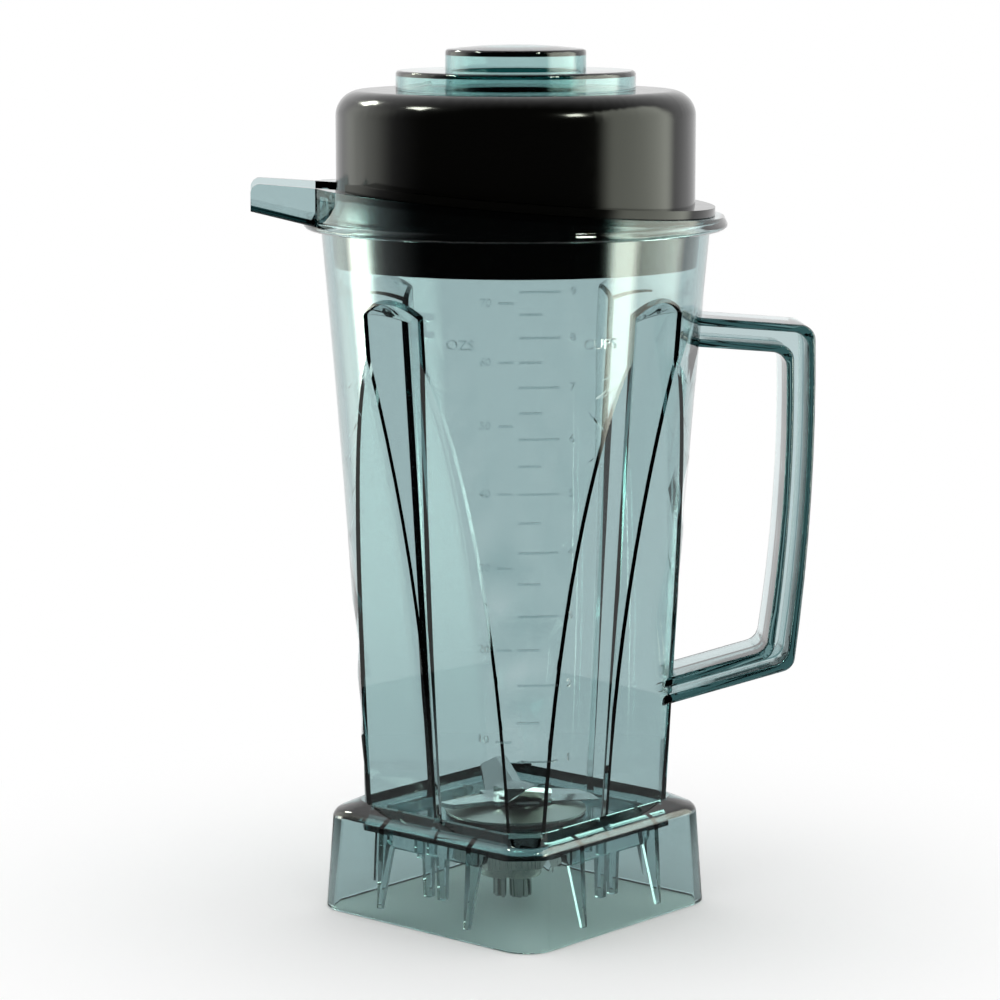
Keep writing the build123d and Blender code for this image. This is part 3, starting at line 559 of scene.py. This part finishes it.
def softbox(name, place, target, size, radiance, soft_edge):
    """Rectangular lamp, dimmer towards its edges, that shows in reflections and through clear walls."""
    lamp = bpy.data.lights.new(name, "AREA")
    lamp.shape = "RECTANGLE"
    lamp.size = size[0]
    lamp.size_y = size[1]
    lamp.energy = radiance * pi * size[0] * size[1]
    lamp.color = colour(LAMP_COLOUR)[:3]
    lamp.use_nodes = True
    tree = lamp.node_tree
    tree.nodes.clear()
    face = add_node(tree, "ShaderNodeNewGeometry")
    across = add_node(tree, "ShaderNodeSeparateXYZ", links={"Vector": face.outputs["Parametric"]})
    glows = []
    for side in ("X", "Y"):
        from_edge = add_node(tree, "ShaderNodeMath", settings={"operation": "PINGPONG"}, values={1: 0.5},
                             links={0: across.outputs[side]})
        glow = add_node(tree, "ShaderNodeMapRange", settings={"interpolation_type": "SMOOTHSTEP"},
                        values={"From Max": soft_edge}, links={"Value": from_edge.outputs["Value"]})
        glows.append(glow.outputs["Result"])
    both = add_node(tree, "ShaderNodeMath", settings={"operation": "MULTIPLY"},
                    links={0: glows[0], 1: glows[1]})
    bulb = add_node(tree, "ShaderNodeEmission", links={"Strength": both.outputs["Value"]})
    add_node(tree, "ShaderNodeOutputLight", links={"Surface": bulb.outputs["Emission"]})
    holder = bpy.data.objects.new(name, lamp)
    scene.collection.objects.link(holder)
    holder.location = place
    holder.rotation_euler = (Vector(target) - Vector(place)).to_track_quat("-Z", "Y").to_euler()
    holder.visible_diffuse = False
    holder.visible_camera = False


# Each lamp's place, target, width and height, radiance, and soft edge as a share of its width and height.
# The softboxes and strips stand level beside the jar, and the small lamps look down on the lid.
LID_MIDDLE = (0.0, 0.0, 0.3)
softbox("softbox_right", (1.0, -0.16, 0.6), (0.0, 0.0, 0.6), (1.4, 1.5), 4.2, 0.22)
softbox("softbox_left", (-0.9, 0.42, 0.3), (0.0, 0.0, 0.3), (1.2, 1.85), 1.1, 0.35)
softbox("strip_right", (0.476, -0.275, 0.1), (0.0, 0.0, 0.1), (0.24, 0.26), 7.5, 0.35)
softbox("strip_left", (-0.577, 0.166, 0.1), (0.0, 0.0, 0.1), (0.3, 0.26), 10.0, 0.35)
for name, place in (("lamp_back_left", (-0.66, 0.68, 0.89)), ("lamp_left", (-0.77, -0.05, 1.12)),
                    ("lamp_front_right", (0.58, -0.8, 0.89))):
    softbox(name, place, LID_MIDDLE, (0.2, 0.2), 50.0, 0.1)

# Camera at the photograph's place
CAMERA_PLACE = (-0.0939, -1.3309, 0.3672)
CAMERA_AIM = (0.0652, 0.9857, -0.1554)
LENS_MM = 128.11
SENSOR_MM = 36.0
FAR_END = 50.0
lens = bpy.data.cameras.new("camera")
lens.lens = LENS_MM
lens.sensor_width = SENSOR_MM
lens.clip_end = FAR_END
camera = bpy.data.objects.new("camera", lens)
scene.collection.objects.link(camera)
camera.location = CAMERA_PLACE
camera.rotation_euler = Vector(CAMERA_AIM).to_track_quat("-Z", "Y").to_euler()
scene.camera = camera

# Light goes through many clear walls before it reaches the eye
CLEAR_BOUNCES = 32
scene.view_settings.view_transform = "Standard"
scene.cycles.max_bounces = CLEAR_BOUNCES
scene.cycles.transmission_bounces = CLEAR_BOUNCES
